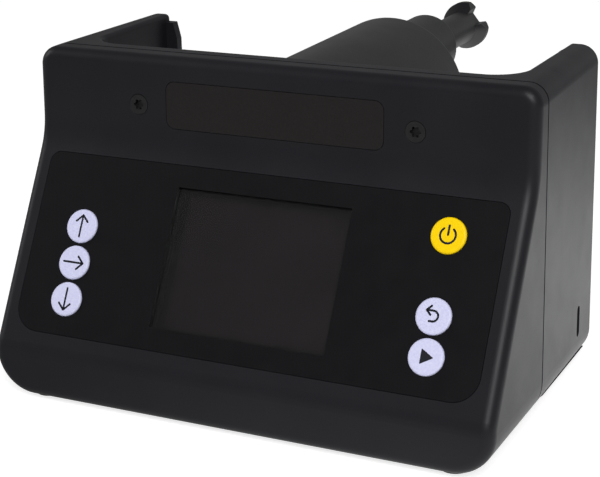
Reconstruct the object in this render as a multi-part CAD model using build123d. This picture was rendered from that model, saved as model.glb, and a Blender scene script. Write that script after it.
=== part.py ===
from build123d import *
import math
import os

# Countertop film processor. A wedge-shaped control head carries a display and six buttons.
# Behind it a casing with two arms makes a cradle for a developing tank, and a motor tube with
# an offset nose turns the tank by a winged spindle.
# Frame: +X to the user's right, +Y away from the user, +Z up, millimetres.
# The origin is under the middle of the whole object, on the surface that it stands on.

# Casing, overall
body_height = 90.6
front_depth = 37.9
rear_depth = 49.6
wall = 2.6
top_corner = 5.0
bottom_corner = 11.5
edge_radius = 3.0
seam_groove = 0.35

# Front face: an upright band, the sloping panel face and the upper strip
band_height = 13.7
face_slope = 29.5
strip_lean = 3.2
strip_setback = 6.46
lower_bend = 8.0
upper_bend = 20.0

# Lip that locates the two casings on each other
lip_clearance = 0.2
lip_thickness = 1.2
lip_reach = 1.5
lip_root = 3.0
lip_top_drop = 14.0

# Rear casing and its cradle
side_draft = 1.8
top_draft = 0.6
rear_bottom_corner = 8.3
rear_edge_radius = 1.5
wall_setback = 5.1
arm_width = 9.9
cradle_front_corner = 9.0
cradle_edge_radius = 1.2
rim_step = 3.6
rim_depth = 3.0
rim_drop = 2.2
rim_bevel_width = 1.2
rim_bevel_height = 4.8

# Motor tube, nose and spindle
tube_drop = 25.5
tube_radius = 23.2
tube_wall = 2.4
tube_length = 69.2
tube_end_wall = 3.0
tube_rim_radius = 1.6
spindle_offset = 8.7
nose_radius = 10.0
nose_length = 27.8
nose_rim_radius = 0.8
coupler_stand_out = 36.5

# Screws, feet and small clearances
fit_gap = 0.15
running_gap = 0.05
screw_radius = 1.5
screw_head_radius = 2.75
screw_head_height = 1.6
small_screw_radius = 1.25
small_head_radius = 2.2
small_head_height = 1.5
drive_depth = 0.9
strip_drive_depth = 1.3
foot_radius = 4.0
foot_stand = 1.2
foot_sink = 1.0

# Control overlay and display
panel_side = 5.45
panel_height = 50.3
panel_centre_height = 40.46
panel_thickness = 1.0
panel_top_corner = 3.0
panel_bottom_corner = 7.0
window_width = 51.0
window_height = 38.3
window_corner = 0.4
window_margin = 3.0
window_thickness = 1.0
window_seat = 1.7
lcd_width = 60.3
lcd_height = 42.7
lcd_thickness = 2.3
frame_wall = 1.5

# Buttons
button_radius = 4.715
button_spacing = 22.25
button_inset = 14.65
button_pitch = 10.2
button_proud = 0.6
button_edge = 0.6
button_travel = 0.6
button_ear_width = 14.0
button_ear_height = 8.6
button_ear_thickness = 1.0
button_stem_radius = 2.0
button_stem_length = 0.6
switch_size = 6.0
switch_height = 3.4
switch_plunger_radius = 1.7
switch_plunger_height = 0.9

# Control board behind the panel
board_inset = 5.05
board_height = 46.0
board_thickness = 1.6
post_radius = 2.7
post_spacing = 8.85
post_v = 18.5
chip_size = 10.0
chip_height = 1.4
connector_length = 10.0
connector_width = 6.0
connector_height = 5.0
connector_x = 22.0
connector_v = -2.0
buzzer_radius = 6.0
buzzer_height = 5.0
buzzer_x = 38.0

# Name plate and screws of the upper strip
plate_width = 63.3
plate_height = 12.7
plate_corner = 2.5
plate_thickness = 0.7
plate_drop = 12.85
strip_screw_spacing = 8.65
strip_screw_drop = 13.5
strip_screw_length = 10.4
boss_radius = 4.3
insert_wall = 0.7
insert_length = 4.0

# Housing flange on the cradle's front wall
spigot_gap = 0.1
spigot_wall = 1.2
flange_radius = 29.0
flange_thickness = 2.5
seal_thickness = 0.8
flange_screw_circle = 26.4
flange_screw_angles = (10.0, 170.0, 232.0, 308.0)
flange_screw_length = 7.2

# Gearbox
gear_module = 0.4
pressure_angle = 20.0
pinion_teeth = 10
wheel_teeth = 30
tooth_shift = 0.4
tooth_backlash = 0.08
tip_relief = 0.08
gear_width = 2.6
gear_gap = 0.5
first_idler_angle = -30.0
case_radius = 18.5
case_bore = 15.6
case_back = 2.2
gear_cover = 3.0
pin_radius = 0.75
stub_radius = 1.2
shaft_radius = 3.0
bushing_wall = 2.0
bushing_spigot = 2.0
case_screw_radius = 0.9
case_screw_length = 8.0
mount_screw_circle = 14.0
mount_screw_angles = (200.0, 270.0, 340.0)

# Motor
can_radius = 16.5
can_length = 38.0
can_wall = 1.2
motor_shaft_radius = 1.0
rotor_radius = 9.0
rotor_length = 20.0
rotor_slots = 9
magnet_gap = 1.0
commutator_radius = 3.5
commutator_length = 5.0
end_cap_thickness = 3.0
terminal_height = 4.0

# Nose bearing, seal and coupler
nose_bore = 4.2
bushing_length = 6.6
seal_depth = 2.8
seal_ring_wall = 2.3
coupler_radius = 5.2
coupler_tail = 2.4
wing_radius = 7.75
wing_flare = 4.0
wing_length = 3.0
wing_chamfer = 0.9
wing_flat = 5.8
notch_angle = 38.0
notch_floor = 3.8
notch_floor_width = 3.6
notch_mouth_width = 5.7
coupler_bore_stop = 9.0
coupler_pin_radius = 1.0
coupler_pin_setback = 12.0

# Charging socket behind the slot in the right wall
socket_setback = 35.3
socket_height = 15.3
slot_length = 9.0
slot_width = 2.6
slot_skin = 1.0
socket_depth = 7.3
socket_width = 3.2
socket_length = 8.94
socket_metal = 0.3
charger_width = 18.0
charger_height = 20.0
charger_below = 8.0
charger_thickness = 1.2
rib_thickness = 2.0
rib_height = 12.0

# Battery in the foot of the front casing
cell_radius = 9.2
cell_length = 50.0
cell_setback = 12.6
tray_floor = 1.5
tray_height = 7.0
tray_width = 18.8
tray_wall = 1.6

# Cover under the rear casing
cover_start = 10.1
cover_length = 37.0
cover_proud = 0.4
cover_thickness = 1.4
cover_wrap = 3.2
hatch_width = 84.0
hatch_length = 22.0
cover_screw_side = 24.5
cover_screw_inset = 4.5
cover_boss_height = 5.0
cover_screw_length = 5.5

# Feet: two pairs under the front casing, one under the cover
front_foot_side = 12.5
front_foot_setback = 8.0
middle_foot_setback = 4.6
rear_foot_side = 22.5

# Leads
lead_radius = 0.8
side_lead_inset = 5.5
lead_rise = 6.6
battery_plug_v = -5.0

# Widths, from the display out to the casing's sides
button_column = lcd_width / 2 + button_spacing
panel_width = 2 * (button_column + button_inset)
body_width = panel_width + 2 * panel_side
cradle_half_width = body_width / 2 - arm_width
board_width = panel_width - 2 * board_inset
post_x = lcd_width / 2 + post_spacing
strip_screw_x = plate_width / 2 + strip_screw_spacing
cover_screw_x = body_width / 2 - cover_screw_side
front_foot_x = body_width / 2 - front_foot_side
rear_foot_x = body_width / 2 - rear_foot_side
side_lead_x = board_width / 2 - side_lead_inset

# Places along Y
overall_depth = front_depth + wall_setback + tube_length + nose_length + coupler_stand_out
front_y = -overall_depth / 2
seam_y = front_y + front_depth
rear_y = seam_y + rear_depth
wall_y = seam_y + wall_setback
tube_end_y = wall_y + tube_length
nose_end_y = tube_end_y + nose_length
tip_y = nose_end_y + coupler_stand_out

# Heights
base_z = foot_stand
top_z = base_z + body_height
tube_z = top_z - tube_drop
spindle_z = tube_z + spindle_offset

slope = math.radians(face_slope)
lean = math.radians(strip_lean)


def line_crossing(first, second):
    """Point where two lines of the side view meet; each line is (unit normal, offset)."""
    (ay, az), a = first
    (by, bz), b = second
    det = ay * bz - az * by
    return ((a * bz - b * az) / det, (ay * b - by * a) / det)


def side_line(point, angle, inset):
    """Line of the side view with its outward normal leaning back by angle, moved in by inset."""
    normal = (-math.cos(angle), math.sin(angle))
    return normal, normal[0] * point[0] + normal[1] * point[1] - inset


band_top = (front_y, base_z + band_height)
strip_top = (seam_y - strip_setback, top_z)
face_line = side_line(band_top, slope, 0.0)
strip_line = side_line(strip_top, lean, 0.0)


def y_on(line, z):
    """Y of the point at height z on a line of the side view."""
    (ny, nz), offset = line
    return (offset - nz * z) / ny


panel_z = base_z + panel_centre_height
panel = Plane(
    origin=(0, y_on(face_line, panel_z), panel_z),
    x_dir=(1, 0, 0),
    z_dir=(0, -math.cos(slope), math.sin(slope)),
)


def strip_frame(x, drop):
    """Frame on the upper strip, with z out of the strip, at a distance below its top."""
    z = top_z - drop
    origin = (x, y_on(strip_line, z), z)
    return Plane(origin=origin, x_dir=(1, 0, 0), z_dir=(0, -math.cos(lean), math.sin(lean)))


# Depths below the panel's face, along its normal
window_back = panel_thickness + window_thickness
lcd_depth = wall + window_seat
ear_depth = wall + fit_gap
stem_depth = ear_depth + button_ear_thickness + button_stem_length
plunger_depth = stem_depth + button_travel + fit_gap
board_depth = plunger_depth + switch_plunger_height + switch_height
board_back = board_depth + board_thickness


def at_y(y):
    """Upright plane across the object: its x is X, its y is Z, and it faces the user."""
    return Plane(origin=(0, y, 0), x_dir=(1, 0, 0), z_dir=(0, -1, 0))


def drawn_back(face, y_start, y_end):
    """Solid from a face of the XZ view, drawn from one place along Y to another."""
    return extrude(at_y(y_start) * face, amount=y_start - y_end)


def rod(radius, y_start, y_end, x=0.0, z=0.0):
    """Round bar along Y."""
    return drawn_back(Pos(x, z) * Circle(radius), y_start, y_end)


def pipe(outer, inner, y_start, y_end, x=0.0, z=0.0):
    """Round tube along Y."""
    face = Pos(x, z) * (Circle(outer) - Circle(inner))
    return drawn_back(face, y_start, y_end)


def cone(radius_start, radius_end, y_start, y_end, x=0.0, z=0.0):
    """Round taper along Y."""
    sections = [
        at_y(y_start) * (Pos(x, z) * Circle(radius_start)),
        at_y(y_end) * (Pos(x, z) * Circle(radius_end)),
    ]
    return loft(sections, ruled=True)


def block(x_range, y_range, z_range):
    """Box between two places on each axis."""
    size = [high - low for low, high in (x_range, y_range, z_range)]
    middle = [(high + low) / 2 for low, high in (x_range, y_range, z_range)]
    return Pos(*middle) * Box(*size)


def plate(width, height, low, high, x=0.0, v=0.0):
    """Flat box of a local frame, between two levels of its z."""
    return Pos(x, v, (low + high) / 2) * Box(width, height, high - low)


def peg(radius, low, high, x=0.0, v=0.0):
    """Round bar along the z of a local frame."""
    return Pos(x, v, (low + high) / 2) * Cylinder(radius, high - low)


def taper_peg(radius_low, radius_high, low, high, x=0.0, v=0.0):
    """Cone along the z of a local frame."""
    return Pos(x, v, (low + high) / 2) * Cone(radius_low, radius_high, high - low)


def rounded(points, radii):
    """Face inside a closed outline with rounded corners."""
    return make_face(FilletPolyline(*points, radius=radii, close=True))


def rounded_plate(width, height, low, high, radii):
    """Plate of a local frame with its four corners rounded, from the lower left round."""
    w, h = width / 2, height / 2
    face = rounded([(-w, -h), (w, -h), (w, h), (-w, h)], radii)
    return Pos(0, 0, low) * extrude(face, amount=high - low)


def group(shapes):
    """Separate solids kept together in one node."""
    return Compound(children=[solid for shape in shapes for solid in shape.solids()])


def lobes(reach):
    """Six-lobe recess outline of a screw."""
    recess = Circle(reach * 0.72)
    for index in range(6):
        recess = recess + Rot(0, 0, 60 * index) * Pos(reach * 0.72, 0) * Circle(reach * 0.27)
    return recess


def lobe_cut(reach, top, depth):
    """Six-lobe recess cut down from a level of the local frame."""
    return Pos(0, 0, top - depth) * extrude(lobes(reach), amount=depth)


# Casing sections


def casing_section(half_width, low, high, low_radius, high_radius):
    """Outline of a casing seen from the front."""
    points = [(-half_width, low), (half_width, low), (half_width, high), (-half_width, high)]
    return rounded(points, [low_radius, low_radius, high_radius, high_radius])


def front_section(inset):
    """Outline of the front casing, moved in by inset."""
    return casing_section(
        body_width / 2 - inset,
        base_z + inset,
        top_z - inset,
        max(bottom_corner - inset, 0.3),
        max(top_corner - inset, 0.3),
    )


def rear_section(y, inset):
    """Outline of the rear casing at a place along Y, moved in by inset."""
    share = (y - seam_y) / rear_depth
    low_radius = bottom_corner - (bottom_corner - rear_bottom_corner) * share
    return at_y(y) * casing_section(
        body_width / 2 - side_draft * share - inset,
        base_z + inset,
        top_z - top_draft * share - inset,
        max(low_radius - inset, 0.3),
        max(top_corner - inset, 0.3),
    )


def rear_form(inset, y_start, y_end):
    """Solid of the rear casing between two places along Y, moved in by inset."""
    return loft([rear_section(y_start, inset), rear_section(y_end, inset)], ruled=True)


def cradle_face(grow):
    """U of the cradle seen from the front, widened by grow, open past the top."""
    half = cradle_half_width + grow
    top = top_z + rear_edge_radius + 1
    edges = [
        Line((-half, top), (-half, spindle_z)),
        ThreePointArc((-half, spindle_z), (0, spindle_z - half), (half, spindle_z)),
        Line((half, spindle_z), (half, top)),
        Line((half, top), (-half, top)),
    ]
    return make_face(edges)


def cradle_form(grow):
    """Space of the cradle, widened by grow, with its front corner rounded."""
    start = wall_y - grow
    space = drawn_back(cradle_face(grow), start, rear_y + 1)
    top = top_z + rear_edge_radius + 1
    corner = [
        edge
        for edge in space.edges()
        if abs(edge.center().Y - start) < 0.01 and edge.center().Z < top - 0.01
    ]
    return fillet(corner, cradle_front_corner + grow)


def front_form(inset, reach):
    """Solid of the front casing, moved in by inset and drawn past the seam by reach."""
    low, high = base_z + inset, top_z - inset
    face = side_line(band_top, slope, inset)
    strip = side_line(strip_top, lean, inset)
    band = ((-1.0, 0.0), -(front_y + inset))
    points = [
        (seam_y + reach, low),
        (front_y + inset, low),
        line_crossing(band, face),
        line_crossing(face, strip),
        (y_on(strip, high), high),
        (seam_y + reach, high),
    ]
    lower, upper = max(lower_bend - inset, 0.3), upper_bend + inset
    profile = rounded(points, [0, 0, lower, upper, 0, 0])
    slab = extrude(Plane.YZ * profile, amount=body_width, both=True)
    return slab & drawn_back(front_section(inset), front_y - 1, seam_y + reach)


def seam_step(y_start, y_end):
    """Shallow step round the casings at the seam; each casing has half of the groove."""
    return drawn_back(front_section(-1.0) - front_section(seam_groove), y_start, y_end)


def front_edge_loop(form):
    """Edges where the front face meets the top, the sides and the underside."""
    along_y = form.edges().filter_by(Axis.Y)
    loop = []
    for edge in form.edges():
        middle = edge.center()
        at_seam = abs(middle.Y - seam_y) < 0.01
        inner = abs(middle.X) < 0.01 and base_z + 0.01 < middle.Z < top_z - 0.01
        if not at_seam and not inner and edge not in along_y:
            loop.append(edge)
    return loop


def build_front_shell():
    """Front casing: the wedge with its recesses, holes, posts and bosses."""
    outer = front_form(0.0, 0.0)
    outer = fillet(front_edge_loop(outer), edge_radius)
    shell = outer - front_form(wall, 1.0)
    shell = shell - seam_step(seam_y - seam_groove, seam_y)

    root = drawn_back(
        front_section(wall - 0.6) - front_section(wall + lip_clearance + lip_thickness),
        seam_y - lip_root,
        seam_y,
    )
    lip = drawn_back(
        front_section(wall + lip_clearance)
        - front_section(wall + lip_clearance + lip_thickness),
        seam_y - lip_root,
        seam_y + lip_reach,
    )
    side = body_width
    below_top = block((-side, side), (front_y, rear_y), (0, top_z - lip_top_drop))
    shell = shell + ((root + lip) & below_top)

    corners = [panel_bottom_corner + fit_gap] * 2 + [panel_top_corner + fit_gap] * 2
    recess = rounded_plate(
        panel_width + 2 * fit_gap, panel_height + 2 * fit_gap, -panel_thickness, 1.0, corners
    )
    shell = shell - panel * recess
    seat_size = (window_width + 2 * window_margin, window_height + 2 * window_margin)
    shell = shell + panel * plate(*seat_size, -lcd_depth, -wall + 0.3)
    pocket_size = [side + 2 * fit_gap for side in seat_size]
    shell = shell - panel * plate(*pocket_size, -window_back, 0.0)
    shell = shell - panel * plate(window_width, window_height, -lcd_depth - wall, 0.0)
    for _, x, v in BUTTONS:
        shell = shell - panel * peg(button_radius + fit_gap, -2 * wall, 0.0, x, v)
    for x, v in BOARD_POSTS:
        post = peg(post_radius, -board_depth, -wall + 0.3, x, v)
        pilot = peg(small_screw_radius, -board_depth, -wall - 0.4, x, v)
        shell = shell + panel * (post - pilot)

    name_recess = rounded_plate(
        plate_width + 2 * fit_gap,
        plate_height + 2 * fit_gap,
        -plate_thickness,
        1.0,
        [plate_corner + fit_gap] * 4,
    )
    shell = shell - strip_frame(0.0, plate_drop) * name_recess
    ahead = block((-side, side), (front_y - 1, seam_y), (0, top_z))
    for x in (-strip_screw_x, strip_screw_x):
        frame = strip_frame(x, strip_screw_drop)
        boss = frame * peg(boss_radius, -strip_screw_length - wall, -wall + 0.3)
        shell = shell + (boss & ahead)
        shell = shell - frame * screw_space()

    for x, y in FRONT_FEET:
        shell = shell - Pos(x, y, 0) * foot_blank(base_z + foot_sink)
    return shell


def screw_space():
    """Countersunk clearance hole of a strip screw, in the strip's frame."""
    head = taper_peg(screw_radius + fit_gap, screw_head_radius + fit_gap, -screw_head_height, 0.0)
    mouth = peg(screw_head_radius + fit_gap, 0.0, 1.0)
    return head + mouth + peg(screw_radius + fit_gap, -2 * strip_screw_length, 0.0)


def foot_blank(height):
    """Round foot standing on the ground."""
    return Pos(0, 0, height / 2) * Cylinder(foot_radius, height)


def inner_top_edges(form):
    """Edges between the cradle's walls and the flat top round it."""
    found = []
    for edge in form.edges():
        middle = edge.center()
        inside = abs(middle.X) < cradle_half_width + 0.5 and middle.Y > seam_y + 1
        high = middle.Z > top_z - top_draft - 0.1
        if inside and high and middle.Y < rear_y - 0.1:
            found.append(edge)
    return found


def rear_edge_loop(form):
    """Edges round the rear end of the casing's outer form."""
    return [edge for edge in form.edges() if abs(edge.center().Y - rear_y) < 0.01]


def cradle_rim():
    """Raised rim round the cradle's open end."""
    outer, inner = cradle_half_width + wall / 2, cradle_half_width - rim_step
    land = inner + rim_bevel_width
    high = top_z - top_draft - rim_drop
    shoulder = high - rim_bevel_height
    edges = [
        Line((-outer, spindle_z), (-outer, high)),
        Line((-outer, high), (-land, high)),
        Line((-land, high), (-inner, shoulder)),
        Line((-inner, shoulder), (-inner, spindle_z)),
        ThreePointArc((-inner, spindle_z), (0, spindle_z - inner), (inner, spindle_z)),
        Line((inner, spindle_z), (inner, shoulder)),
        Line((inner, shoulder), (land, high)),
        Line((land, high), (outer, high)),
        Line((outer, high), (outer, spindle_z)),
        ThreePointArc((outer, spindle_z), (0, spindle_z - outer), (-outer, spindle_z)),
    ]
    return drawn_back(make_face(edges), rear_y - rim_depth, rear_y - 0.3)


def build_rear_shell():
    """Rear casing: the cradle's U with hollow arms, its rim, bosses, slot and hatch."""
    outer = rear_form(0.0, seam_y, rear_y)
    outer = fillet(rear_edge_loop(outer), rear_edge_radius)
    shell = outer - cradle_form(0.0)
    shell = fillet(inner_top_edges(shell), cradle_edge_radius)
    shell = shell + cradle_rim()
    hollow = rear_form(wall, seam_y - 1, rear_y - wall) - cradle_form(wall)
    shell = shell - hollow
    shell = shell - seam_step(seam_y, seam_y + seam_groove)

    collar = rod(flange_radius, seam_y, wall_y - 0.3, 0.0, tube_z)
    shell = shell + (collar & rear_form(0.3, seam_y, rear_y))
    shell = shell - rod(spigot_radius + spigot_gap, seam_y - 1, wall_y + 1, 0.0, tube_z)
    for x, z in FLANGE_SCREWS:
        pilot_end = wall_y + seal_thickness + flange_thickness - flange_screw_length
        shell = shell - rod(small_screw_radius, pilot_end, wall_y + 1, x, z)

    side = body_width
    behind = block((-side, side), (seam_y, wall_y - 0.3), (0, top_z))
    for x in (-strip_screw_x, strip_screw_x):
        frame = strip_frame(x, strip_screw_drop)
        shell = shell + ((frame * peg(boss_radius, -2 * strip_screw_length, -wall)) & behind)
        shell = shell - ((frame * insert_blank()) & behind)

    shell = shell + (charger_rib() & rear_form(wall / 2, seam_y, rear_y))
    shell = shell - charger_pilot()
    for x, y in COVER_SCREWS:
        floor = base_z + cover_thickness
        boss = Pos(x, y, floor + cover_boss_height / 2) * Cylinder(
            boss_radius * 0.8, cover_boss_height
        )
        pilot = Pos(x, y, floor + cover_boss_height / 2) * Cylinder(
            small_screw_radius, cover_boss_height + 2
        )
        shell = shell + (boss & rear_form(0.3, seam_y, rear_y))
        shell = shell - (pilot & block((-side, side), (seam_y, rear_y), (0, floor + 4.2)))

    shell = shell - cover_pocket()
    shell = shell - hatch()
    return shell - socket_slot()


# Derived places of the housing, screws and feet

spigot_radius = tube_radius - tube_wall + spigot_wall
bushing_radius = shaft_radius + bushing_wall
flange_top = tube_z + tube_radius
FLANGE_SCREWS = [
    (
        flange_screw_circle * math.cos(math.radians(angle)),
        tube_z + flange_screw_circle * math.sin(math.radians(angle)),
    )
    for angle in flange_screw_angles
]
MOUNT_SCREWS = [
    (
        mount_screw_circle * math.cos(math.radians(angle)),
        tube_z + mount_screw_circle * math.sin(math.radians(angle)),
    )
    for angle in mount_screw_angles
]
BUTTONS = [
    ("button_up", -button_column, 0.5 * button_pitch),
    ("button_right", -button_column, -0.5 * button_pitch),
    ("button_down", -button_column, -1.5 * button_pitch),
    ("button_power", button_column, 1.5 * button_pitch),
    ("button_back", button_column, -0.5 * button_pitch),
    ("button_start", button_column, -1.5 * button_pitch),
]
BOARD_POSTS = [(x, v) for x in (-post_x, post_x) for v in (-post_v, post_v)]
FRONT_FEET = [
    (x, y)
    for x in (-front_foot_x, front_foot_x)
    for y in (front_y + front_foot_setback, seam_y - middle_foot_setback)
]
cover_start_y = seam_y + cover_start
cover_end_y = cover_start_y + cover_length
cover_middle_y = (cover_start_y + cover_end_y) / 2
REAR_FEET = [(x, cover_middle_y) for x in (-rear_foot_x, rear_foot_x)]
COVER_SCREWS = [
    (x, y)
    for x in (-cover_screw_x, cover_screw_x)
    for y in (cover_start_y + cover_screw_inset, cover_end_y - cover_screw_inset)
]


def insert_blank():
    """Place of a threaded insert, in the strip's frame."""
    depth = strip_to_seam()
    return peg(screw_radius + insert_wall, -depth - insert_length, -depth + 1.0)


def strip_to_seam():
    """Distance from the strip to the seam along a strip screw."""
    return (seam_y - y_on(strip_line, top_z - strip_screw_drop)) / math.cos(lean)


def cover_band(low_inset, high_inset, gap):
    """Piece of the rear casing's skin under the cover, between two insets."""
    skin = rear_form(low_inset, cover_start_y - gap, cover_end_y + gap)
    skin = skin - rear_form(high_inset, cover_start_y - 2, cover_end_y + 2)
    side = body_width
    return skin & block((-side, side), (seam_y, rear_y), (-5, base_z + cover_wrap + gap))


def cover_pocket():
    """Shallow pocket that the cover lies in."""
    return cover_band(-1.0, cover_thickness, fit_gap)


def hatch():
    """Opening in the floor under the cover."""
    y = (cover_middle_y - hatch_length / 2, cover_middle_y + hatch_length / 2)
    return block((-hatch_width / 2, hatch_width / 2), y, (base_z - 1, base_z + wall + 0.5))


def build_base_cover():
    """Thin cover under the rear casing, bent up round the lower corners."""
    cover = cover_band(-cover_proud, cover_thickness, 0.0)
    for x, y in COVER_SCREWS:
        low = base_z - cover_proud
        hole = Pos(x, y, low) * Cylinder(small_screw_radius + fit_gap, 4 * cover_thickness)
        sink = Pos(x, y, low + 0.5) * Cone(
            small_head_radius + fit_gap, small_screw_radius + fit_gap, 1.0
        )
        cover = cover - hole - sink
    for x, y in REAR_FEET:
        cover = cover - Pos(x, y, 0) * foot_blank(base_z - cover_proud + foot_sink)
    return cover


def build_cover_screws():
    """Countersunk screws of the base cover."""
    screws = []
    for x, y in COVER_SCREWS:
        low = base_z - cover_proud
        head = Pos(x, y, low + 0.5) * Cone(small_head_radius, small_screw_radius, 1.0)
        shank = Pos(x, y, low + cover_screw_length / 2) * Cylinder(
            small_screw_radius, cover_screw_length
        )
        recess = Pos(x, y, low) * extrude(lobes(small_head_radius * 0.62), amount=drive_depth)
        screws.append(head + shank - recess)
    return group(screws)


def build_feet():
    """Six rubber feet."""
    feet = [Pos(x, y, 0) * foot_blank(base_z + foot_sink) for x, y in FRONT_FEET]
    rear_height = base_z - cover_proud + foot_sink
    feet += [Pos(x, y, 0) * foot_blank(rear_height) for x, y in REAR_FEET]
    return group(feet)


# Panel pieces


def build_overlay():
    """Dark panel let into the sloping face, with the window and the button holes."""
    corners = [panel_bottom_corner] * 2 + [panel_top_corner] * 2
    sheet = rounded_plate(panel_width, panel_height, -panel_thickness, 0.0, corners)
    w, h = window_width / 2, window_height / 2
    opening = rounded([(-w, -h), (w, -h), (w, h), (-w, h)], [window_corner] * 4)
    sheet = sheet - Pos(0, 0, -2 * panel_thickness) * extrude(opening, amount=3 * panel_thickness)
    for _, x, v in BUTTONS:
        sheet = sheet - peg(button_radius + fit_gap, -2 * panel_thickness, 1.0, x, v)
    return panel * sheet


def build_window():
    """Clear window bonded into its pocket, under the overlay's edge."""
    size = (window_width + 2 * window_margin, window_height + 2 * window_margin)
    return panel * plate(*size, -window_back, -panel_thickness)


def build_lcd():
    """Display glass."""
    return panel * plate(lcd_width, lcd_height, -lcd_depth - lcd_thickness, -lcd_depth)


def build_lcd_frame():
    """Holder round the display, which stands on the control board."""
    outer = plate(
        lcd_width + 2 * frame_wall, lcd_height + 2 * frame_wall, -board_depth, -lcd_depth
    )
    glass = plate(lcd_width, lcd_height, -lcd_depth - lcd_thickness, 0.0)
    inside = plate(
        lcd_width - 4 * frame_wall,
        lcd_height - 4 * frame_wall,
        -board_depth - 1,
        -lcd_depth - lcd_thickness - frame_wall,
    )
    return panel * (outer - glass - inside)


def build_button(x, v):
    """Round button with ears behind the wall and a stem over its switch."""
    height = ear_depth + button_proud
    cap = Pos(x, v, -ear_depth + height / 2) * Cylinder(button_radius, height)
    rim = cap.edges().filter_by(GeomType.CIRCLE).sort_by(Axis.Z)[-1]
    cap = fillet([rim], button_edge)
    ears = plate(
        button_ear_width,
        button_ear_height,
        -ear_depth - button_ear_thickness,
        -ear_depth,
        x,
        v,
    )
    stem = peg(button_stem_radius, -stem_depth, -ear_depth - button_ear_thickness, x, v)
    return panel * (cap + ears + stem)


def build_switches():
    """Tact switches on the control board, one under each button."""
    switches = []
    for _, x, v in BUTTONS:
        top = -board_depth + switch_height
        body = plate(switch_size, switch_size, -board_depth, top, x, v)
        plunger = peg(switch_plunger_radius, top, top + switch_plunger_height, x, v)
        switches.append(panel * (body + plunger))
    return group(switches)


def build_board():
    """Control board behind the panel."""
    board = plate(board_width, board_height, -board_back, -board_depth)
    for x, v in BOARD_POSTS:
        board = board - peg(small_screw_radius, -board_back - 1, -board_depth + 1, x, v)
    return panel * board


def build_components():
    """Chips and connectors on the back of the control board."""
    pieces = [
        plate(chip_size, chip_size, -board_back - chip_height, -board_back),
        plate(chip_size * 0.5, chip_size * 0.4, -board_back - chip_height, -board_back, 13.0, 8.0),
        plate(chip_size * 0.4, chip_size * 0.5, -board_back - chip_height, -board_back, -12.0, -7.0),
    ]
    for sign in (-1, 1):
        pieces.append(
            plate(
                connector_length,
                connector_width,
                -board_back - connector_height,
                -board_back,
                sign * connector_x,
                connector_v,
            )
        )
    return group([panel * piece for piece in pieces])


def build_buzzer():
    """Round buzzer on the back of the control board."""
    back = -board_back - buzzer_height
    case = peg(buzzer_radius, back, -board_back, -buzzer_x)
    return panel * (case - peg(buzzer_radius / 6, back - 1, -board_back - 1, -buzzer_x))


def build_board_screws():
    """Pan-head screws of the control board, and the charger board's one."""
    screws = []
    for x, v in BOARD_POSTS:
        head = peg(small_head_radius, -board_back - small_head_height, -board_back, x, v)
        shank = peg(small_screw_radius, -board_back, -wall - 1.0, x, v)
        recess = Pos(x, v, -board_back - small_head_height) * extrude(
            lobes(small_head_radius * 0.62), amount=drive_depth
        )
        screws.append(panel * (head + shank - recess))
    screws.append(charger_screw())
    return group(screws)


# Upper strip pieces


def build_name_plate():
    """Bare plate let into the upper strip."""
    blank = rounded_plate(plate_width, plate_height, -plate_thickness, 0.0, [plate_corner] * 4)
    return strip_frame(0.0, plate_drop) * blank


def build_front_screws():
    """Two countersunk six-lobe screws of the upper strip."""
    screws = []
    for x in (-strip_screw_x, strip_screw_x):
        head = taper_peg(screw_radius, screw_head_radius, -screw_head_height, 0.0)
        shank = peg(screw_radius, -strip_screw_length, -screw_head_height)
        screw = head + shank - lobe_cut(screw_head_radius * 0.55, 0.0, strip_drive_depth)
        screws.append(strip_frame(x, strip_screw_drop) * screw)
    return group(screws)


def build_inserts():
    """Brass inserts that the strip screws turn into."""
    side = body_width
    behind = block((-side, side), (seam_y, wall_y), (0, top_z))
    inserts = []
    for x in (-strip_screw_x, strip_screw_x):
        bore = peg(screw_radius, -2 * strip_screw_length, 1.0)
        insert = (strip_frame(x, strip_screw_drop) * (insert_blank() - bore)) & behind
        inserts.append(insert)
    return group(inserts)


# Motor tube


def build_housing():
    """Motor tube with its flange, end wall and offset nose."""
    flange_y = wall_y + seal_thickness
    body = rod(tube_radius, flange_y, tube_end_y, 0.0, tube_z)
    rim = body.edges().filter_by(GeomType.CIRCLE).sort_by(Axis.Y)[-1]
    body = fillet([rim], tube_rim_radius)
    nose = rod(nose_radius, tube_end_y - 1, nose_end_y, 0.0, spindle_z)
    nose_rim = nose.edges().filter_by(GeomType.CIRCLE).sort_by(Axis.Y)[-1]
    nose = fillet([nose_rim], nose_rim_radius)
    flange = rod(flange_radius, flange_y, flange_y + flange_thickness, 0.0, tube_z)
    side = body_width
    below = block((-side, side), (seam_y, tube_end_y), (0, flange_top))
    spigot = rod(spigot_radius, seam_y, flange_y, 0.0, tube_z)
    body = body + nose + (flange & below) + spigot
    inner = tube_end_y - tube_end_wall
    body = body - rod(tube_radius - tube_wall, seam_y - 1, inner, 0.0, tube_z)
    body = body - rod(bushing_radius, inner - 1, inner + bushing_spigot, 0.0, spindle_z)
    body = body - rod(nose_bore, inner, nose_end_y, 0.0, spindle_z)
    seat = nose_end_y - seal_depth - bushing_length
    body = body - rod(bushing_radius, seat, nose_end_y + 1, 0.0, spindle_z)
    seal = nose_end_y - seal_depth
    body = body - rod(coupler_radius + seal_ring_wall, seal, nose_end_y + 1, 0.0, spindle_z)
    for x, z in FLANGE_SCREWS:
        body = body - rod(small_screw_radius + fit_gap, seam_y, wall_y + 9, x, z)
    for x, z in MOUNT_SCREWS:
        body = body - rod(small_screw_radius, inner - 1, tube_end_y + 1, x, z)
    return body


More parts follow.
